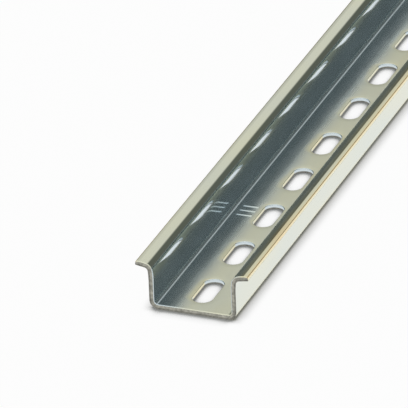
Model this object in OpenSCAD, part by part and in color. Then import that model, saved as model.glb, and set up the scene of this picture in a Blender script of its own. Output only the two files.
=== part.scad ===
// Perforated top-hat mounting rail, 35 mm wide and 15 mm high, roll-formed from 1.5 mm steel strip.
// The origin is at the middle of the underside. The rail runs along Y, its channel opens upward,
// and its underside lies on the plane z = 0. All sizes are in millimetres.

/* [Rail] */
// Length of the piece, cut from longer stock
rail_len = 500; // [100:25:2000]
// Overall width across both lips
rail_w = 35; // [34:0.5:40]
// Overall height, from the underside of the base to the highest point of the lips
rail_h = 15; // [10:0.5:20]
// Outside width of the channel, across its two side walls
channel_w = 27; // [25:0.5:28]
// Angle by which the lips rise towards their tips, in degrees
lip_rise = 10; // [0:1:15]

/* [Strip] */
// Thickness of the strip that the rail is rolled from
sheet_t = 1.5; // [1:0.1:2]
// Inside radius of the two bends between the base and the walls
foot_r = 1.2; // [0.5:0.1:2]
// Inside radius of the two bends between the walls and the lips
brow_r = 1.7; // [0.8:0.1:2]
// Radius on the two long edges of the strip, at the tips of the lips
edge_r = 0.4; // [0.1:0.05:0.45]
// Radius that the shear draws into the upper edge of each cut end
shear_r = 0.3; // [0.1:0.05:0.6]

/* [Slots] */
// Width of each fixing slot
slot_w = 6.2; // [4:0.1:8]
// Length of each fixing slot, from round end to round end
slot_len = 15; // [10:0.5:20]
// Distance from the centre of one slot to the centre of the next
slot_pitch = 25; // [22:0.5:40]
// Radius that the punch draws into the upper edge of each slot
punch_r = 0.4; // [0.1:0.05:0.6]

/* [Hidden] */

// Sides of the circles that turn into arcs and round holes
$fn = 64;
// How far a cut runs past the face that it breaks through
overcut = 1;
// How far a drawn edge stands clear over the surface that it follows
skim = 0.1;
// How far a lap reaches over the joint of two stretches, and how deep it lies inside the strip
lap = 0.2;

// Half widths of the channel outside, of the channel inside, and of the whole rail
channel_half = channel_w / 2;
inside_half = channel_half - sheet_t;
rail_half = rail_w / 2;
// Centre of the bend between base and wall, on the +X side
foot_x = inside_half - foot_r;
foot_z = sheet_t + foot_r;
// Radius on the upper side of the bend between wall and lip
brow_top_r = brow_r + sheet_t;
// Centre of that bend on the +X side, and the flat run of the lip after it, set so that the tip
// ends at the rail's full width and height, and held to a thousandth so that stretches meet exactly
brow_x = channel_half + brow_r;
lip_run = held(edge_r
    + (rail_half - edge_r - brow_x + (brow_r + edge_r) * sin(lip_rise)) / cos(lip_rise));
brow_z = held(rail_h - edge_r
    - (lip_run - edge_r) * sin(lip_rise) - (brow_top_r - edge_r) * cos(lip_rise));

// The slots fill the length, and the cut ends fall midway between two slots
slot_count = floor(rail_len / slot_pitch);
first_slot_y = -(slot_count - 1) * slot_pitch / 2;
// Straight part of a slot, between the centres of its round ends
slot_run = slot_len - slot_w;

// A size to the nearest thousandth of a millimetre
function held(size) = round(1000 * size) / 1000;

// The part of the plane that the bend between base and wall turns through, seen from its centre
module foot_slice_2d(reach) {
    translate([0, -reach])
        square(reach);
}

// The part of the plane that the bend between wall and lip turns through, seen from its centre
module brow_slice_2d(reach) {
    difference() {
        translate([-reach, 0])
            square(reach);
        rotate(lip_rise)
            square(2 * reach);
    }
}

// A full ring of strip, of which a bend takes its slice
module ring_2d(inside_r) {
    difference() {
        circle(r = inside_r + sheet_t);
        circle(r = inside_r);
    }
}

// A lap inside the strip that joins two stretches, with their joint on the Y axis and the strip's
// underside at y = 0
module lap_2d() {
    translate([-lap, lap])
        square([2 * lap, sheet_t - 2 * lap]);
}

// Flat stretch of strip that ends in a rolled edge, from x = 0 to lip_run, with its underside at y = 0
module lip_2d() {
    square([lip_run - edge_r, sheet_t]);
    translate([lip_run - 2 * edge_r, edge_r])
        square([2 * edge_r, sheet_t - 2 * edge_r]);
    for (y = [edge_r, sheet_t - edge_r])
        translate([lip_run - edge_r, y])
            circle(r = edge_r);
}

// The +X half of the section: base, bend, wall, bend and lip, each joined to the next by a lap
module half_section_2d() {
    square([foot_x, sheet_t]);
    translate([foot_x, 0])
        lap_2d();
    translate([foot_x, foot_z])
        intersection() {
            ring_2d(foot_r);
            foot_slice_2d(foot_r + sheet_t);
        }
    translate([inside_half, foot_z])
        square([sheet_t, brow_z - foot_z]);
    for (z = [foot_z, brow_z])
        translate([channel_half, z])
            rotate(90)
                lap_2d();
    translate([brow_x, brow_z]) {
        intersection() {
            ring_2d(brow_r);
            brow_slice_2d(brow_top_r);
        }
        rotate(lip_rise)
            translate([0, brow_r]) {
                lap_2d();
                lip_2d();
            }
    }
}

// The rolled profile, before it is punched and cut
module profile() {
    translate([0, rail_len / 2, 0])
        rotate([90, 0, 0])
            linear_extrude(height = rail_len) {
                half_section_2d();
                mirror([1, 0])
                    half_section_2d();
            }
}

// What a blade of the punch or the shear draws down along an edge: x is the distance from the
// cut face into the strip, and y is the height over the strip's upper surface
module drawn_edge_2d(r) {
    difference() {
        translate([-overcut, -r])
            square([overcut + r, r + skim]);
        translate([r, -r])
            circle(r = r);
    }
}

// The punch's drawn edge along the +X side of the straight part of a slot
module slot_side_edge() {
    translate([slot_w / 2, slot_run / 2, 0])
        rotate([90, 0, 0])
            linear_extrude(height = slot_run)
                drawn_edge_2d(punch_r);
}

// One fixing slot along Y, as the solid that is punched out, with z = 0 on the underside
module slot_cut() {
    for (end = [-1, 1])
        translate([0, end * slot_run / 2, 0]) {
            translate([0, 0, -overcut])
                cylinder(d = slot_w, h = sheet_t + 2 * overcut);
            translate([0, 0, sheet_t])
                rotate_extrude()
                    translate([slot_w / 2, 0])
                        drawn_edge_2d(punch_r);
        }
    translate([-slot_w / 2, -slot_run / 2, -overcut])
        cube([slot_w, slot_run, sheet_t + 2 * overcut]);
    translate([0, 0, sheet_t]) {
        slot_side_edge();
        mirror([1, 0, 0])
            slot_side_edge();
    }
}

// The shear's drawn edge along a straight stretch of the section. It starts at the origin and runs
// along +X, with the end face at y = 0 and the strip's upper surface at z = 0.
module shear_straight(run) {
    rotate([90, 0, 90])
        linear_extrude(height = run)
            drawn_edge_2d(shear_r);
}

// The shear's drawn edge round a bend, in the slice given as its child, with the end face at y = 0.
// The strip's upper surface has the radius r there, and the strip lies on the outer side of that
// radius, or with side = -1 on the inner side of it.
module shear_bend(r, side) {
    rotate([90, 0, 0])
        intersection() {
            rotate_extrude()
                translate([r, 0])
                    scale([-side, 1])
                        rotate(-90)
                            drawn_edge_2d(shear_r);
            linear_extrude(height = 2 * (shear_r + overcut), center = true)
                children();
        }
}

// The shear's drawn edge over the +X half of the section, with the end face at y = 0
module shear_half() {
    translate([0, 0, sheet_t])
        shear_straight(foot_x);
    translate([foot_x, 0, foot_z])
        shear_bend(foot_r, 1)
            foot_slice_2d(foot_r + overcut);
    translate([inside_half, 0, foot_z])
        rotate([0, -90, 0])
            shear_straight(brow_z - foot_z);
    translate([brow_x, 0, brow_z]) {
        shear_bend(brow_top_r, -1)
            brow_slice_2d(brow_top_r + overcut);
        rotate([0, -lip_rise, 0])
            translate([0, 0, brow_top_r])
                shear_straight(lip_run + overcut);
    }
}

// The shear's drawn edge over the whole section, at the end of the rail that faces -Y
module shear_cut() {
    translate([0, -rail_len / 2, 0]) {
        shear_half();
        mirror([1, 0, 0])
            shear_half();
    }
}

// The rail: one strip, rolled to its section, punched along the middle of its base and sheared off
module rail() {
    color([0.62, 0.64, 0.58])
        difference() {
            profile();
            for (i = [0 : slot_count - 1])
                translate([0, first_slot_y + i * slot_pitch, 0])
                    slot_cut();
            for (turn = [0, 180])
                rotate(turn)
                    shear_cut();
        }
}

rail();
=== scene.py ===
# %% [markdown]
# # A length of punched top-hat rail
# This lesson dresses one piece of the steel rail that holds the devices in a control cabinet.
# It is a single strip: rolled to a hat-shaped section, punched with slots, sheared to length and
# then zinc plated. The frame brings the measured solid, and everything below is built over it.

# %% Load the measured frame
import math
import bpy
from mathutils import Matrix, Vector


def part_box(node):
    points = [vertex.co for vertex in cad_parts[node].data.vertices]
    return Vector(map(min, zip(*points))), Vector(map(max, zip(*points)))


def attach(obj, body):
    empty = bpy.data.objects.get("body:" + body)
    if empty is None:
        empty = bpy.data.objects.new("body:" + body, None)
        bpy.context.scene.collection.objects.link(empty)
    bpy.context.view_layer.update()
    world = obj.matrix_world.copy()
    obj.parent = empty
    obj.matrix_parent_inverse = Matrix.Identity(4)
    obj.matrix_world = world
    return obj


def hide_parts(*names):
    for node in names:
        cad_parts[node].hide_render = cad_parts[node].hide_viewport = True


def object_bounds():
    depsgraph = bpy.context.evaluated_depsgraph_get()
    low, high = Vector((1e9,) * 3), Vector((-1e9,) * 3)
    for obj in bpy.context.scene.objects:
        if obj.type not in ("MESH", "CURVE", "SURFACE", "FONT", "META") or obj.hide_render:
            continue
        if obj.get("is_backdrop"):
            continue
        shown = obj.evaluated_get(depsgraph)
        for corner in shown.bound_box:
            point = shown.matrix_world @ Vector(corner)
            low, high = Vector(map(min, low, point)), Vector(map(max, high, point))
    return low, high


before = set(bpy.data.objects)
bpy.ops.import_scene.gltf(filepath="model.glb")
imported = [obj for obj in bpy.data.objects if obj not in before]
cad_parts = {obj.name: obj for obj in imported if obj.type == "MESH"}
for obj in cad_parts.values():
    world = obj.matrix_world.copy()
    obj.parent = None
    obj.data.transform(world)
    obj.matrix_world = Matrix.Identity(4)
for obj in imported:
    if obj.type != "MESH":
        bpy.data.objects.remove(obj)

MM = 0.001
cad_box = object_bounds()
rail_low, rail_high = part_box("rail")
rail_size = rail_high - rail_low
print("rail, mm:", [round(side / MM, 2) for side in rail_size])

# %% [markdown]
# ## The sizes of the strip
# The overall width, height and length come from the frame. The rest are the sizes that the rolling
# mill and the punch set: the thickness, the bend radii, and the slots with their pitch.
# Four of them are 0.1 to 0.5 mm tighter than in the solid, because they are seen here as narrow
# lines of light: the bend between wall and lip, the upper edge of each tip, and the edges that the
# punch and the shear draw down.

# %% Sizes of the strip and its bends
SHEET = 1.5 * MM
CHANNEL_HALF = 13.5 * MM
FOOT_R = 1.2 * MM
BROW_R = 1.2 * MM
EDGE_R = 0.4 * MM
TIP_R = 0.25 * MM
LIP_RISE = math.radians(10)
print("channel outside, mm:", round(2 * CHANNEL_HALF / MM, 1), "sheet, mm:", SHEET / MM)

# %% Sizes and places of the slots, and what punch and shear draw down
SLOT_R = 3.1 * MM
SLOT_RUN = 8.8 * MM
SLOT_PITCH = 25 * MM
PUNCH_R = 0.2 * MM
SHEAR_R = 0.2 * MM

HALF_LEN = rail_size.y / 2
slot_count = int(rail_size.y / SLOT_PITCH + 0.5)
slot_centres = [(i - (slot_count - 1) / 2) * SLOT_PITCH for i in range(slot_count)]
print("slots:", slot_count, "first at", round(slot_centres[0] / MM, 1), "mm")

# %% [markdown]
# Rolls never bend a strip with one sharp turn: the top of each wall already leans out a little
# before the tight bend. The lean is under a fifth of a millimetre, too little to measure, but it
# spreads the mirror image of the slots into the long bright streaks on the left-hand wall.

# %% Centres of the bends on the right-hand half
LEAN_R = 30 * MM
LEAN = math.radians(6)

inside_half = CHANNEL_HALF - SHEET
foot_x, foot_z = inside_half - FOOT_R, SHEET + FOOT_R
brow_top_r = BROW_R + SHEET
brow_x = CHANNEL_HALF + BROW_R + (LEAN_R - brow_top_r) * (1 - math.cos(LEAN))
flat_run = (rail_size.x / 2 - EDGE_R - brow_x
            + (BROW_R + EDGE_R) * math.sin(LIP_RISE)) / math.cos(LIP_RISE)
brow_z = (rail_size.z - EDGE_R - flat_run * math.sin(LIP_RISE)
          - (brow_top_r - EDGE_R) * math.cos(LIP_RISE))
lean_z = brow_z - (LEAN_R - brow_top_r) * math.sin(LEAN)
print("lip: flat for", round(flat_run / MM, 2), "mm")
print("walls lean from", round(lean_z / MM, 1), "mm up")

# %% [markdown]
# ## The section as a chain of points
# The real section is one strip of even thickness, so only its upper side has to be drawn: each
# point there also carries the direction that the surface faces, and the lower side lies one
# thickness behind it. Extruding a curve would give the same shape, but columns made one by one let
# the punched slots be woven into the same mesh, with no boolean cuts and no broken shading.

# %% Points along an arc, with the way that the surface faces and how far it is sunk
def arc(centre, radius, start, end, steps, facing=1):
    points = []
    for i in range(steps + 1):
        angle = math.radians(start + (end - start) * i / steps)
        across, up = math.cos(angle), math.sin(angle)
        points.append((centre[0] + radius * across, centre[1] + radius * up,
                       facing * across, facing * up, 0.0))
    return points


print("a quarter circle in 4 steps has", len(arc((0, 0), 1, 0, 90, 4)), "points")

# %% Points on the lip, along it from its bend and at a height over its underside
rise_deg, lean_deg = math.degrees(LIP_RISE), math.degrees(LEAN)
lip_along = (math.cos(LIP_RISE), math.sin(LIP_RISE))
lip_faces = (-math.sin(LIP_RISE), math.cos(LIP_RISE))


def on_lip(along, height):
    return (brow_x + along * lip_along[0] + (BROW_R + height) * lip_faces[0],
            brow_z + along * lip_along[1] + (BROW_R + height) * lip_faces[1])


def lip_point(along, sunk=0.0):
    return on_lip(along, SHEET) + lip_faces + (sunk,)


print("top of the lip starts at, mm:", [round(size / MM, 2) for size in on_lip(0, SHEET)])

# %% [markdown]
# The strip was slit from a wider coil before it was rolled, and the slitting knife drew the upper
# side of its long edges down a little. On the finished rail that is a narrow band along each lip
# that catches the light on its own. It is a shallow arc here, sunk below the flat of the lip.

# %% The band that the slitting knife drew down: radius, turn in degrees and steps of each part
SLIT_PARTS = ((1.3 * MM, 10, 4), (14.0 * MM, 4, 4))

slit_stations = [(0.0, 0.0)]
slit_turn = 0.0
for radius, turn, steps in SLIT_PARTS:
    for i in range(steps):
        step = math.radians(turn / steps)
        middle = slit_turn + step / 2
        along, sunk = slit_stations[-1]
        slit_stations.append((along + radius * step * math.cos(middle),
                              sunk + radius * step * math.sin(middle)))
        slit_turn += step
slit_run, slit_sunk = slit_stations[-1]
tip_middle = flat_run + EDGE_R - TIP_R
slit_start = tip_middle + TIP_R * math.sin(slit_turn) - slit_run
slit_band = [lip_point(slit_start + along, sunk) for along, sunk in slit_stations]
print("band:", round(slit_run / MM, 2), "mm wide, sunk", round(slit_sunk / MM, 3), "mm")

# %% [markdown]
# Smooth shading would pull the light of a bend out over the flats beside it. A point held close
# to each bend, on the flat, keeps the flats flat and the lines of light narrow.

# %% Upper side of the right half, from the edge of the base to the lip's tip
HOLD = 0.25 * MM
FOOT_STEPS = 8
LEAN_STEPS = 6
BROW_STEPS = 12

wall_mid = (foot_z + lean_z) / 2
upper_half = [(foot_x - HOLD, SHEET, 0.0, 1.0, 0.0)]
upper_half += arc((foot_x, foot_z), FOOT_R, -90, 0, FOOT_STEPS, facing=-1)
upper_half += [(inside_half, z, -1.0, 0.0, 0.0) for z in (foot_z + HOLD, wall_mid)]
upper_half += arc((inside_half + LEAN_R, lean_z), LEAN_R, 180, 180 - lean_deg, LEAN_STEPS)
upper_half += arc((brow_x, brow_z), brow_top_r, 180 - lean_deg, 90 + rise_deg, BROW_STEPS)[1:]
upper_half += [lip_point(HOLD)] + slit_band
print("points on the upper side of one half:", len(upper_half))

# %% The rolled edge at the tip of the lip
TIP_STEPS = 4

tip_height = SHEET - slit_sunk - TIP_R * math.cos(slit_turn)
tip_upper = arc(on_lip(tip_middle, tip_height), TIP_R,
                90 + rise_deg - math.degrees(slit_turn), rise_deg, TIP_STEPS)
tip_lower = arc(on_lip(flat_run, EDGE_R), EDGE_R, rise_deg, rise_deg - 90, TIP_STEPS)
right_tip = tip_upper[1:] + tip_lower
print("points round the tip:", len(right_tip))

# %% [markdown]
# ## Closing the section
# One closed loop of columns runs over the upper side from left to right, round the right tip, back
# along the underside and up round the left tip. The flat of the base gets its own few columns,
# because the slots will be woven in between them.

# %% Helpers that mirror a point and step through the thickness
def mirrored(point):
    x, z, face_x, face_z, sunk = point
    return (-x, z, -face_x, face_z, sunk)


def behind(point):
    x, z, face_x, face_z, sunk = point
    return (x - SHEET * face_x, z - SHEET * face_z, -face_x, -face_z, 0.0)


print("under the base's edge, mm:", [round(size / MM, 2) for size in behind(upper_half[0])[:2]])

# %% The closed loop of columns
QUARTER = 4
STRAIGHT = 6
across_steps = 2 * QUARTER
along_steps = 2 * QUARTER + STRAIGHT

base_half = foot_x - HOLD
base_upper = [(base_half * (2 * i / across_steps - 1), SHEET, 0.0, 1.0, 0.0)
              for i in range(1, across_steps)]
upper = [mirrored(p) for p in reversed(upper_half)] + base_upper + upper_half
lower = [behind(p) for p in reversed(upper)]
left_tip = [mirrored(p) for p in reversed(right_tip)]
section = upper + right_tip + lower + left_tip
print("columns round the section:", len(section))

# %% Where the flat of the base lies in that loop, above and below
last_upper = len(upper) - 1
lower_start = len(upper) + len(right_tip)
half_count = len(upper_half)
upper_base = (half_count - 1, half_count - 1 + across_steps)
lower_base = (lower_start + half_count - 1, lower_start + half_count - 1 + across_steps)
print("columns of the base, above and below:", upper_base, lower_base)

# %% [markdown]
# ## Rows along the length
# Each slot owns the rows that its outline needs, and a narrow row joins it to the next one. At both
# ends the shear has drawn the upper side down a little, so the last rows follow a quarter circle.

# %% Rows, as a place along the length and a draw-down
END_STEPS = 5
cell_half = SLOT_PITCH / 2 - SHEAR_R - HOLD


def end_rows():
    drawn = []
    for i in range(END_STEPS + 1):
        angle = math.pi / 2 * i / END_STEPS
        place = HALF_LEN - SHEAR_R * (1 - math.sin(angle))
        drawn.append((place, SHEAR_R * (1 - math.cos(angle))))
    return drawn


rows = [(-y, drop) for y, drop in reversed(end_rows())]
cell_rows = []
for centre in slot_centres:
    cell_rows.append(len(rows))
    rows += [(centre + cell_half * (2 * j / along_steps - 1), 0.0)
             for j in range(along_steps + 1)]
rows += end_rows()
print("rows along the length:", len(rows))

# %% [markdown]
# ## A mesh that grows point by point
# Every crossing of a column and a row is one vertex, made the first time that a face asks for it.
# The upper side is drawn down in full at the cut ends, the underside not at all, and the round tips
# in between by as much as they face upward.

# %% Vertices and faces, and how much of the draw-down each column takes
vertices, faces = [], []
sheared_faces, torn_faces = [], []
grid = {}


def add_vertex(x, y, z):
    vertices.append((x, y, z))
    return len(vertices) - 1


def share_of_draw(column):
    face_x, face_z = section[column][2:4]
    if column < len(upper):
        return 1.0
    return max(0.0, abs(face_x) * lip_faces[0] + face_z * lip_faces[1])


def grid_vertex(column, row):
    column %= len(section)
    if (column, row) not in grid:
        x, z, face_x, face_z, sunk = section[column]
        y, drop = rows[row]
        down = sunk + drop * share_of_draw(column)
        grid[column, row] = add_vertex(x - down * face_x, y, z - down * face_z)
    return grid[column, row]


print("columns that are drawn down:", sum(share_of_draw(i) > 0 for i in range(len(section))))

# %% Faces over the whole strip, except where the slots will be woven in
slot_spans = {cell + j for cell in cell_rows for j in range(along_steps)}
base_columns = set(range(*upper_base)) | set(range(*lower_base))
for row in range(len(rows) - 1):
    for column in range(len(section)):
        if row in slot_spans and column in base_columns:
            continue
        faces.append((grid_vertex(column, row), grid_vertex(column + 1, row),
                      grid_vertex(column + 1, row + 1), grid_vertex(column, row + 1)))
print("faces before the slots:", len(faces))

# %% [markdown]
# ## The punched slots
# A punch drags the upper face down with it before it breaks through, which leaves a small rounded
# shoulder, then a smooth wall, then a slightly wider torn edge at the bottom. The sheet round the
# slot is dished by a few hundredths of a millimetre, which bends the reflections there. Here that
# is a set of rings, from the flat of the base inward, down the wall and out again underneath.
# A boolean cut with a bevel on it would give much the same shape, but it leaves long thin faces
# that show as smears in a bright metal.

# %% The outline of a slot, or of anything with two straight sides and round ends
def stadium(radius, run):
    step = math.pi / 2 / (2 * QUARTER)
    half = []
    for i in range(-QUARTER, 0):
        half.append((radius * math.cos(step * i), radius * math.sin(step * i) - run / 2))
    for i in range(STRAIGHT):
        half.append((radius, (i / STRAIGHT - 0.5) * run))
    for i in range(3 * QUARTER):
        half.append((radius * math.cos(step * i), radius * math.sin(step * i) + run / 2))
    return half + [(-x, -y) for x, y in half]


print("points round a slot:", len(stadium(1, 1)), "of", 2 * (across_steps + along_steps))

# %% Rings of one slot, as a distance out from its wall and a height
PUNCH_STEPS = 4
TEAR = 0.05 * MM
TORN_SHARE = 0.3
DISH = ((2.4 * MM, 0.0), (1.9 * MM, 0.004 * MM), (1.4 * MM, 0.013 * MM),
        (0.9 * MM, 0.028 * MM), (0.45 * MM, 0.043 * MM))
DISH_LAST = 0.009 * MM

dish_depth = DISH[-1][1] + DISH_LAST
slot_rings = [(distance, SHEET - dip) for distance, dip in DISH]
for i in range(PUNCH_STEPS + 1):
    angle = math.pi / 2 * i / PUNCH_STEPS
    slot_rings.append((PUNCH_R * (1 - math.sin(angle)),
                       SHEET - dish_depth - PUNCH_R * (1 - math.cos(angle))))
slot_rings.append((0.0, TORN_SHARE * SHEET))
torn_ring = len(slot_rings)
slot_rings += [(TEAR, 0.0), (TEAR + HOLD, 0.0)]
print("rings in a slot:", len(slot_rings), "dished by", round(dish_depth / MM, 3), "mm")

# %% The rectangle of columns and rows that a slot is woven into
def border(cell, left, right):
    end = cell + along_steps
    step = 1 if left < right else -1
    rightward = [grid_vertex(right, cell + j) for j in range(along_steps)]
    top = [grid_vertex(right - step * i, end) for i in range(across_steps)]
    leftward = [grid_vertex(left, end - j) for j in range(along_steps)]
    bottom = [grid_vertex(left + step * i, cell) for i in range(across_steps)]
    return rightward + top + leftward + bottom


print("points round the rectangle:", len(border(cell_rows[0], *upper_base)))

# %% A band of faces between two loops with as many points each
def join_loops(outer, inner):
    first = len(faces)
    for i in range(len(outer)):
        j = (i + 1) % len(outer)
        faces.append((outer[i], outer[j], inner[j], inner[i]))
    return range(first, len(faces))


print("faces so far:", len(faces))

# %% Weave every slot into the base
for cell, centre in zip(cell_rows, slot_centres):
    loops = [border(cell, *upper_base)]
    for distance, z in slot_rings:
        outline = stadium(SLOT_R + distance, SLOT_RUN)
        loops.append([add_vertex(x, centre + y, z) for x, y in outline])
    loops.append(border(cell, *reversed(lower_base)))
    for ring, (outer, inner) in enumerate(zip(loops, loops[1:])):
        joined = join_loops(outer, inner)
        if ring == torn_ring:
            torn_faces += joined
print("faces with the slots:", len(faces))

# %% [markdown]
# ## The sheared ends
# The two end faces are flat. A shear cuts cleanly through the upper part of the strip and tears
# the rest. A single face over the whole end would give the same shape, but it could carry only one
# finish, so each column gets two small faces, one above the other: a smooth one and a torn one.
# One rounded face fills each tip, which keeps the section free of long thin triangles.

# %% The column on the underside, and the point between where the clean cut ends
CLEAN_SHARE = 0.6


def opposite(column):
    return lower_start + last_upper - column


def cut_line(column, row):
    if ("cut", column, row) not in grid:
        top = Vector(vertices[grid_vertex(column, row)])
        under = Vector(vertices[grid_vertex(opposite(column), row)])
        grid["cut", column, row] = add_vertex(*top.lerp(under, CLEAN_SHARE))
    return grid["cut", column, row]


print("clean cut, mm:", round(CLEAN_SHARE * SHEET / MM, 2), "of", SHEET / MM)

# %% Fill the two end faces, with each face turned to look outward
for row, order in ((0, 1), (len(rows) - 1, -1)):
    for column in range(last_upper):
        middle, next_middle = cut_line(column, row), cut_line(column + 1, row)
        sheared_faces.append(len(faces))
        faces.append((grid_vertex(column, row), middle,
                      next_middle, grid_vertex(column + 1, row))[::order])
        torn_faces.append(len(faces))
        faces.append((middle, grid_vertex(opposite(column), row),
                      grid_vertex(opposite(column + 1), row), next_middle)[::order])
    right_end = (last_upper, len(right_tip) + 2, cut_line(last_upper, row))
    left_end = (lower_start + len(lower) - 1, len(left_tip) + 2, cut_line(0, row))
    for first, count, middle in (right_end, left_end):
        corners = [grid_vertex(first + i, row) for i in range(count)] + [middle]
        sheared_faces.append(len(faces))
        faces.append(tuple(corners[::-order]))
print("faces in all:", len(faces), "sheared:", len(sheared_faces), "torn:", len(torn_faces))

# %% [markdown]
# ## The stamped mark
# Rails carry a small stamp beside one of the slots. Here it is three plain raised bars. A bump in
# the material could draw them, but real height also bends the light at their edges. Each is a low
# mound, made from the outline of a slot, with its foot just inside the base, so that nothing has
# to be cut in the surface below it.

# %% Three raised bars
BAR_LENGTH = 5.4 * MM
BAR_WIDTH = 1.3 * MM
BAR_HEIGHT = 0.2 * MM
BAR_SUNK = 0.15
BAR_GAP = 2.9 * MM
BAR_TURN = math.radians(80)
BAR_STEPS = 4
STAMPED_SLOT = 3
STAMP_X = -7.1 * MM
STAMP_PAST_SLOT = 1.2 * MM

stamp_y = slot_centres[STAMPED_SLOT - 1] + STAMP_PAST_SLOT
for number in (-1, 0, 1):
    loops = []
    for i in range(BAR_STEPS + 1):
        angle = BAR_TURN * i / BAR_STEPS
        outline = stadium(BAR_WIDTH / 2 * math.cos(angle), BAR_LENGTH - BAR_WIDTH)
        z = SHEET + BAR_HEIGHT * (math.sin(angle) - BAR_SUNK)
        loops.append([add_vertex(STAMP_X - y, stamp_y + number * BAR_GAP + x, z)
                      for x, y in outline])
    for outer, inner in zip(loops, loops[1:]):
        join_loops(outer, inner)
    faces.append(tuple(loops[-1]))
print("bars of", round(BAR_LENGTH / MM, 1), "mm beside slot", STAMPED_SLOT)

# %% Make the rail
SHARP_OVER = math.radians(40)

rail_mesh = bpy.data.meshes.new("rail_strip")
rail_mesh.from_pydata(vertices, [], faces)
mended = rail_mesh.validate(verbose=True)
rail_mesh.shade_smooth()
rail_mesh.set_sharp_from_angle(angle=SHARP_OVER)
rail = bpy.data.objects.new("rail_strip", rail_mesh)
bpy.context.scene.collection.objects.link(rail)
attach(rail, "root")
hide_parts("rail")
triangles = sum(len(face.vertices) - 2 for face in rail_mesh.polygons)
print("triangles:", triangles, "mended:", mended)

# %% [markdown]
# ## Zinc with its film
# The rail is zinc plated and then dipped, which leaves a film so thin that it tints the metal:
# blue-grey where it is thinnest, olive and straw yellow where it is thicker, as round the slots
# and along the lips. The zinc itself is a soft mirror. The tints could be painted on an image, but
# here they are worked out from the place on the rail, which needs no unwrapping, and the film
# stays where it is from any side.
#
# Nodes are many small steps, so a few short helpers come first: one makes a node and wires it, and
# the others stand for a sum, a product or a soft step from one value to another.

# %% Helpers for wiring nodes
def wire(tree, kind, inputs=(), **settings):
    node = tree.nodes.new(kind)
    for name, value in settings.items():
        setattr(node, name, value)
    for socket, value in dict(inputs).items():
        target = node.inputs[socket]
        if isinstance(value, bpy.types.NodeSocket):
            tree.links.new(value, target)
        else:
            target.default_value = value
    return node


def math_node(tree, operation, *values):
    return wire(tree, "ShaderNodeMath", enumerate(values), operation=operation).outputs[0]


def plus(tree, first, second):
    return math_node(tree, "ADD", first, second)


def minus(tree, first, second):
    return math_node(tree, "SUBTRACT", first, second)


def times(tree, first, second):
    return math_node(tree, "MULTIPLY", first, second)


def greater(tree, first, second):
    return math_node(tree, "MAXIMUM", first, second)


print("helpers: wire, math_node, plus, minus, times, greater")

# %% A soft step from low to high while a value goes from start to end
def fade(tree, value, start, end, low=0.0, high=1.0):
    node = wire(tree, "ShaderNodeMapRange", interpolation_type="SMOOTHSTEP",
                inputs={"Value": value, "From Min": start, "From Max": end,
                        "To Min": low, "To Max": high})
    return node.outputs["Result"]


quarter = 0.25
print("a quarter of the way along it has risen by", 3 * quarter ** 2 - 2 * quarter ** 3)

# %% Places on the rail and uneven patches, for the film to follow
def rail_place(tree):
    spot = wire(tree, "ShaderNodeTexCoord").outputs["Object"]
    return spot, wire(tree, "ShaderNodeSeparateXYZ", {0: spot}).outputs


def noise(tree, spot, stretch, detail=2.0):
    moved = wire(tree, "ShaderNodeMapping", {"Vector": spot, "Scale": stretch}).outputs[0]
    uneven = wire(tree, "ShaderNodeTexNoise", {"Vector": moved, "Scale": 1.0, "Detail": detail})
    return uneven.outputs[0]


def sway(tree, uneven, reach):
    return times(tree, minus(tree, uneven, 0.5), reach)


example = 100
print("a stretch of", example, "gives patches of about", round(1 / example / MM), "mm")

# %% How far a point of the base lies from the nearest slot's wall, and past its straight sides
def slot_distance(tree, place):
    along = math_node(tree, "PINGPONG", minus(tree, place[1], slot_centres[0]), SLOT_PITCH / 2)
    past = greater(tree, minus(tree, along, SLOT_RUN / 2), 0.0)
    square = plus(tree, math_node(tree, "POWER", past, 2.0),
                  math_node(tree, "POWER", place[0], 2.0))
    return minus(tree, math_node(tree, "SQRT", square), SLOT_R), past


print("furthest from a slot along the middle, mm:",
      round((SLOT_PITCH / 2 - SLOT_RUN / 2 - SLOT_R) / MM, 2))

# %% [markdown]
# How thick the film is goes from 0, blue-grey, to 1, straw yellow. The dip drains off the rail
# unevenly: it gathers round the slots and on the right of the base, stands thickest on the right
# lip and at the tips, and hardly wets the round ends inside a slot. Each of these is a soft step
# over the place on the rail, and the thickest one wins. Only the tips add to what is there, and
# the walls inside a slot have a film of their own.

# %% The film round the slots, on the base and on the outer walls
HALO_FILM = 0.82
HALO_FROM, HALO_TO = 0.2 * MM, 3.5 * MM
HALO_SWAY = 3 * MM
HALO_STRETCH = (160, 90, 160)
BASE_FILM = 0.76
BASE_FROM = -10 * MM
BASE_TOP = (3 * MM, 2 * MM)
OUTER_FILM = 0.5
OUTER_FROM, OUTER_TO = 12.3 * MM, 13.2 * MM


def film_round_slots(tree, spot, distance):
    away = plus(tree, distance, sway(tree, noise(tree, spot, HALO_STRETCH), HALO_SWAY))
    return fade(tree, away, HALO_FROM, HALO_TO, HALO_FILM, 0.0)


def film_on_base(tree, place):
    return times(tree, fade(tree, place[0], BASE_FROM, 0, 0.0, BASE_FILM),
                 fade(tree, place[2], *BASE_TOP))


def film_outside(tree, side):
    return fade(tree, side, OUTER_FROM, OUTER_TO, 0.0, OUTER_FILM)


print("film round a slot reaches", round(HALO_TO / MM, 1), "mm")

# %% The film on the lips and at their tips
LEFT_LIP_FILM = 0.68
RIGHT_LIP_FILM = (0.35, 0.86)
RIGHT_LIP_FROM, RIGHT_LIP_TO = 14 * MM, 15.6 * MM
MIDDLE_BLEND = 1 * MM
LIP_FROM, LIP_TO = 12.4 * MM, 13.8 * MM
TIP_FILM = 0.3
TIP_SIDE = (16.9 * MM, 17.15 * MM)
TIP_HEIGHT = (14.3 * MM, 14.45 * MM)


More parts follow.
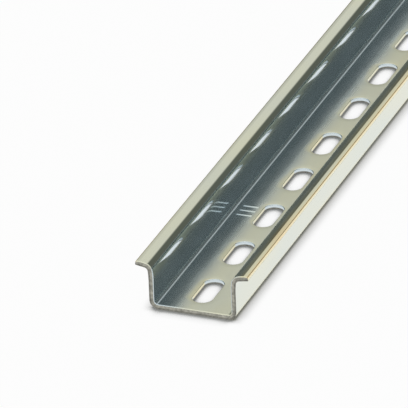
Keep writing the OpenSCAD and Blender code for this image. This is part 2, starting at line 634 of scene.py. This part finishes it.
def film_on_lips(tree, place):
    left = fade(tree, place[0], MIDDLE_BLEND, -MIDDLE_BLEND, 0.0, LEFT_LIP_FILM)
    right = fade(tree, place[0], RIGHT_LIP_FROM, RIGHT_LIP_TO, *RIGHT_LIP_FILM)
    return times(tree, greater(tree, left, right), fade(tree, place[2], LIP_FROM, LIP_TO))


def film_at_tips(tree, side, place):
    return times(tree, fade(tree, side, *TIP_SIDE, 0.0, TIP_FILM),
                 fade(tree, place[2], *TIP_HEIGHT))


print("film on the lips starts", round(LIP_FROM / MM, 1), "mm up")

# %% The film over the whole rail, with the slots' own walls and large soft clouds
SLOT_WALL_FILM = (0.85, 0.05)
SLOT_END_FROM = 1.2 * MM
IN_SLOT = (0.15 * MM, 0.07 * MM)
CLOUD_SWAY = 0.5
CLOUD_STRETCH = (60, 25, 60)


def film(tree, spot, place):
    distance, past = slot_distance(tree, place)
    side = math_node(tree, "ABSOLUTE", place[0])
    flats = greater(tree, film_round_slots(tree, spot, distance), film_on_base(tree, place))
    edges = greater(tree, film_on_lips(tree, place), film_outside(tree, side))
    thick = plus(tree, greater(tree, flats, edges), film_at_tips(tree, side, place))
    in_slot = fade(tree, distance, *IN_SLOT)
    slot_wall = fade(tree, past, 0.0, SLOT_END_FROM, *SLOT_WALL_FILM)
    thick = plus(tree, thick, times(tree, in_slot, minus(tree, slot_wall, thick)))
    return plus(tree, thick, sway(tree, noise(tree, spot, CLOUD_STRETCH), CLOUD_SWAY))


print("film on a slot's straight walls and round ends:", SLOT_WALL_FILM)

# %% Tints of the film, each at its thickness
FILM_TINTS = ((0.0, (0.65, 0.73, 0.77)), (0.3, (0.68, 0.745, 0.73)), (0.55, (0.75, 0.77, 0.67)),
              (0.8, (0.81, 0.80, 0.62)), (0.9, (0.84, 0.79, 0.55)), (1.0, (0.86, 0.70, 0.42)))


def tint_ramp(tree, value, tints):
    node = wire(tree, "ShaderNodeValToRGB", {0: value})
    stops = node.color_ramp.elements
    for i, (place, colour) in enumerate(tints):
        stop = stops[i] if i < 2 else stops.new(place)
        stop.position, stop.color = place, (*colour, 1)
    return node.outputs[0]


print("tints of the film:", len(FILM_TINTS))

# %% [markdown]
# Rolling leaves fine lines along the rail, so the roughness varies across it far more quickly than
# along it. The base is duller than the walls, and dullest where the film is thick, which blurs the
# mirror image of the left wall into a soft step from dark to light.

# %% The plated metal
LINE_STRETCH = (1400, 12, 1400)
LINE_SPREAD = (0.3, 0.7)
LINE_ROUGH = (0.06, 0.09)
PATCH_STRETCH = (260, 90, 260)
PATCH_SPREAD = (0.35, 0.7)
PATCH_ROUGH = (0.0, 0.03)
DULL_FILM = (0.05, 0.8)
BASE_DULL = (0.15, 0.23)
RIPPLE = 0.012 * MM

zinc = bpy.data.materials.new("passivated_zinc")
zinc.use_nodes = True
tree = zinc.node_tree
shader = tree.nodes["Principled BSDF"]
shader.inputs["Metallic"].default_value = 1.0
spot, place = rail_place(tree)
thick = film(tree, spot, place)
tree.links.new(tint_ramp(tree, thick, FILM_TINTS), shader.inputs["Base Color"])
lines = noise(tree, spot, LINE_STRETCH)
patches = noise(tree, spot, PATCH_STRETCH, detail=1.0)
rough = plus(tree, fade(tree, lines, *LINE_SPREAD, *LINE_ROUGH),
             fade(tree, patches, *PATCH_SPREAD, *PATCH_ROUGH))
dull = times(tree, fade(tree, thick, *DULL_FILM, *BASE_DULL), fade(tree, place[2], *BASE_TOP))
tree.links.new(plus(tree, rough, dull), shader.inputs["Roughness"])
bump = wire(tree, "ShaderNodeBump", {"Height": patches, "Strength": 1.0, "Distance": RIPPLE})
tree.links.new(bump.outputs[0], shader.inputs["Normal"])
rail_mesh.materials.append(zinc)
print("nodes in the zinc:", len(tree.nodes))

# %% [markdown]
# ## Cut faces
# Where the shear cut the ends cleanly, the metal is duller and browner than the rolled skin. Where
# the shear and the punch tore it, it is rougher and darker still. Two copies of one material could
# be tuned by hand, but a function that takes the tints and the roughness keeps both to one recipe.

# %% The sheared and the torn faces
SHEARED_TINTS = ((0.3, (0.22, 0.22, 0.19)), (0.7, (0.50, 0.49, 0.42)))
TORN_TINTS = ((0.3, (0.15, 0.15, 0.13)), (0.7, (0.34, 0.33, 0.29)))
GRAIN_STRETCH = (900, 900, 900)
GRAIN_DEPTH = 0.08 * MM


def cut_metal(name, tints, roughness, relief, cut_faces):
    metal = bpy.data.materials.new(name)
    metal.use_nodes = True
    tree = metal.node_tree
    shader = tree.nodes["Principled BSDF"]
    shader.inputs["Metallic"].default_value = 1.0
    shader.inputs["Roughness"].default_value = roughness
    grain = noise(tree, rail_place(tree)[0], GRAIN_STRETCH, detail=3.0)
    tree.links.new(tint_ramp(tree, grain, tints), shader.inputs["Base Color"])
    bump = wire(tree, "ShaderNodeBump",
                {"Height": grain, "Strength": relief, "Distance": GRAIN_DEPTH})
    tree.links.new(bump.outputs[0], shader.inputs["Normal"])
    rail_mesh.materials.append(metal)
    for face in cut_faces:
        rail_mesh.polygons[face].material_index = len(rail_mesh.materials) - 1


cut_metal("sheared_edge", SHEARED_TINTS, roughness=0.38, relief=0.25, cut_faces=sheared_faces)
cut_metal("torn_edge", TORN_TINTS, roughness=0.5, relief=0.5, cut_faces=torn_faces)
print("materials:", [material.name for material in rail_mesh.materials])

# %% [markdown]
# ## The floor
# The rail lies on white paper. Stronger lamps would turn a plain paper white, but the metal would
# be too bright under them. So the paper glows at the strength of white, both to the camera and in
# the mirror images on the zinc. A glow has no shadow, though. Where something stands close over
# the paper, which the ambient occlusion node measures, the glow gives way to a plain grey paper,
# and that is the soft shade under the rail. How close that has to be is set apart for the paper
# seen through the slots, beside the walls and ahead of the cut ends.

# %% A sheet of paper just under the rail
FLOOR_HALF = 4.0
BURR = 0.05 * MM
floor_mesh = bpy.data.meshes.new("floor")
floor_mesh.from_pydata([(-FLOOR_HALF, -FLOOR_HALF, 0), (FLOOR_HALF, -FLOOR_HALF, 0),
                        (FLOOR_HALF, FLOOR_HALF, 0), (-FLOOR_HALF, FLOOR_HALF, 0)],
                       [], [(0, 1, 2, 3)])
floor = bpy.data.objects.new("floor", floor_mesh)
bpy.context.scene.collection.objects.link(floor)
floor.location.z = rail_low.z - BURR
floor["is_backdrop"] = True
print("floor at, mm:", round(floor.location.z / MM, 2))

# %% Paper that is white to the camera and shaded close to the rail
PAPER = (0.4, 0.4, 0.4, 1)
PAPER_ROUGH = 0.9
FLOOR_GLOW = 0.97
SHADE_REACH = 5 * MM
SLOT_SHADE = (0.62, 0.92)
END_SHADE = (0.73, 1.0)
WALL_SHADE_DROP = -0.5
MIRRORED_SHADE = (0.0, 0.5)
BESIDE_ACROSS = (11.5 * MM, 13.5 * MM)
BESIDE_ALONG = (HALF_LEN + 1 * MM, HALF_LEN - 2 * MM)
AHEAD_ACROSS = (14.5 * MM, 9 * MM)
AHEAD_ALONG = (HALF_LEN - 0.5 * MM, HALF_LEN + 0.5 * MM)

paper = bpy.data.materials.new("white_paper")
paper.use_nodes = True
tree = paper.node_tree
shader = tree.nodes["Principled BSDF"]
shader.inputs["Base Color"].default_value = PAPER
shader.inputs["Roughness"].default_value = PAPER_ROUGH
shader.inputs["Specular IOR Level"].default_value = 0.0
path = wire(tree, "ShaderNodeLightPath").outputs
glow = wire(tree, "ShaderNodeEmission", {"Color": (1, 1, 1, 1), "Strength": 1.0})
near = wire(tree, "ShaderNodeAmbientOcclusion", {"Distance": SHADE_REACH}).outputs["AO"]
place = rail_place(tree)[1]
across, along = math_node(tree, "ABSOLUTE", place[0]), math_node(tree, "ABSOLUTE", place[1])
beside = times(tree, fade(tree, across, *BESIDE_ACROSS), fade(tree, along, *BESIDE_ALONG))
ahead = times(tree, fade(tree, across, *AHEAD_ACROSS), fade(tree, along, *AHEAD_ALONG))
darkest = math_node(tree, "MULTIPLY_ADD", beside, WALL_SHADE_DROP,
                    fade(tree, ahead, 0, 1, SLOT_SHADE[0], END_SHADE[0]))
lightest = fade(tree, ahead, 0, 1, SLOT_SHADE[1], END_SHADE[1])
mirror_ray = greater(tree, path["Is Glossy Ray"], path["Is Transmission Ray"])
seen = times(tree, path["Is Camera Ray"],
             fade(tree, near, darkest, lightest, 0.0, FLOOR_GLOW))
reflected = times(tree, mirror_ray, fade(tree, near, *MIRRORED_SHADE, 0.0, FLOOR_GLOW))
mix = wire(tree, "ShaderNodeMixShader", {0: greater(tree, seen, reflected),
                                         1: shader.outputs[0], 2: glow.outputs[0]})
tree.links.new(mix.outputs[0], tree.nodes["Material Output"].inputs["Surface"])
floor_mesh.materials.append(paper)
print("nodes in the paper:", len(tree.nodes))

# %% [markdown]
# ## The light
# Bright metal shows little of its own: nearly all that is seen is the room around it. A large
# softbox overhead, a dimmer and lower one behind the rail and brighter ones round the sides and
# the front give long clean reflections, and the dark gaps between them draw the bends. The boxes
# are painted on the sky, far away, so the reflections stay even along the whole length, which near
# lamps would not do. The camera itself sees a plain white backdrop in every direction.
#
# A point of the sky is known by how far it lies to the east, to the north and up, each from -1 to
# 1. The rail runs north, away from the camera.

# %% The sky's directions, and a soft step between two heights in degrees
world = bpy.data.worlds.new("studio")
bpy.context.scene.world = world
world.use_nodes = True
tree = world.node_tree
sight = wire(tree, "ShaderNodeTexCoord").outputs["Generated"]
east, north, height = list(wire(tree, "ShaderNodeSeparateXYZ", {0: sight}).outputs)


def sine(degrees):
    return math.sin(math.radians(degrees))


def fade_up(start, end, low=0.0, high=1.0):
    return fade(tree, height, sine(start), sine(end), low, high)


print("a box edge at 42 degrees lies at a height of", round(sine(42), 3))

# %% The box in the ceiling
CEILING = 0.8
CEILING_EDGE = (42, 50)
ceiling = fade_up(*CEILING_EDGE, 0, CEILING)
print("ceiling box:", CEILING, "from", CEILING_EDGE, "degrees up")

# %% The box behind the rail, brighter towards its top and cut off a little right of the rail
BACK_BOX = (0.5, 0.62)
BACK_RISE = (24, 31)
BACK_FOOT = (19.5, 23.5)
BACK_NORTH = (0.15, 0.45)
RIGHT_EDGE_EAST, RIGHT_EDGE_NORTH = -0.99, 0.14
RIGHT_EDGE_BLUR = 0.12
right_edge = fade(tree, plus(tree, times(tree, east, RIGHT_EDGE_EAST),
                             times(tree, north, RIGHT_EDGE_NORTH)),
                  -RIGHT_EDGE_BLUR, RIGHT_EDGE_BLUR)
back = times(tree, fade(tree, north, *BACK_NORTH), right_edge)
back = times(tree, back, fade_up(*BACK_FOOT))
back = times(tree, back, fade_up(*BACK_RISE, *BACK_BOX))
print("back box ends", round(math.degrees(math.atan2(RIGHT_EDGE_NORTH, -RIGHT_EDGE_EAST)), 1),
      "degrees right of the rail's far end")

# %% The boxes round the sides and the front
SIDE_BOXES = 1.1
SIDE_NORTH = (0.25, -0.1)
SIDE_FOOT = (6, 14)
SIDE_TOP = (46, 38)
sides = times(tree, fade(tree, north, *SIDE_NORTH, 0, SIDE_BOXES), fade_up(*SIDE_FOOT))
sides = times(tree, sides, fade_up(*SIDE_TOP))
print("side boxes:", SIDE_BOXES, "between", SIDE_FOOT, "and", SIDE_TOP, "degrees up")

# %% The sky: boxes and dim room for the metal, a white backdrop for the camera
ROOM = (0.118, 0.132, 0.126, 1)
BACKDROP = 0.98
BOX_TINT = (1, 1, 0.98, 1)
boxes = tree.nodes["Background"]
boxes.inputs["Color"].default_value = BOX_TINT
level = greater(tree, greater(tree, back, sides), ceiling)
tree.links.new(level, boxes.inputs["Strength"])
room = wire(tree, "ShaderNodeBackground", {"Color": ROOM, "Strength": 1.0})
both = wire(tree, "ShaderNodeAddShader", {0: boxes.outputs[0], 1: room.outputs[0]})
backdrop = wire(tree, "ShaderNodeBackground", {"Color": (1, 1, 1, 1), "Strength": BACKDROP})
eye = wire(tree, "ShaderNodeLightPath").outputs["Is Camera Ray"]
sky = wire(tree, "ShaderNodeMixShader", {0: eye, 1: both.outputs[0], 2: backdrop.outputs[0]})
tree.links.new(sky.outputs[0], tree.nodes["World Output"].inputs["Surface"])
print("nodes in the sky:", len(tree.nodes))

# %% [markdown]
# ## The camera
# The photo looks down along the rail over its near end, a little from the right, and from so far
# away that the long edges hardly draw together. A long lens two metres off does the same here. A
# constraint could aim the camera, but the photo also leans a little to one side, so the camera
# gets the direction that it looks in and the direction of its right-hand side.

# %% A long lens over the near end
CAMERA_AT = Vector((0.67445, -1.90542, 0.94886))
FORWARD = Vector((-0.33398, 0.82554, -0.45491)).normalized()
RIGHT = Vector((0.93289, 0.35853, -0.03426)).normalized()
FOCAL_PIXELS = 6990
PICTURE_PIXELS = 408
SENSOR = 36
FAR_CLIP = 50

camera_data = bpy.data.cameras.new("camera")
camera_data.sensor_width = SENSOR
camera_data.lens = FOCAL_PIXELS * SENSOR / PICTURE_PIXELS
camera_data.clip_end = FAR_CLIP
camera = bpy.data.objects.new("camera", camera_data)
up = RIGHT.cross(FORWARD)
camera.matrix_world = Matrix((
    (RIGHT.x, up.x, -FORWARD.x, CAMERA_AT.x), (RIGHT.y, up.y, -FORWARD.y, CAMERA_AT.y),
    (RIGHT.z, up.z, -FORWARD.z, CAMERA_AT.z), (0, 0, 0, 1)))
bpy.context.scene.collection.objects.link(camera)
bpy.context.scene.camera = camera
bpy.context.scene.view_settings.view_transform = "Standard"
print("looking down by", round(math.degrees(math.asin(-FORWARD.z)), 1), "degrees")

# %% [markdown]
# ## Finish
# The box of the dressed rail is kept beside the box of the solid, so that the two can be compared.
# The dressed rail may not be larger, and it lies inside.

# %% Keep both boxes and finish
sizes = {"cad": [list(corner) for corner in cad_box], "visual": [list(c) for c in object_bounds()]}
low, high = sizes["visual"]
print("dressed rail, mm:", [round((end - start) / MM, 2) for start, end in zip(low, high)])
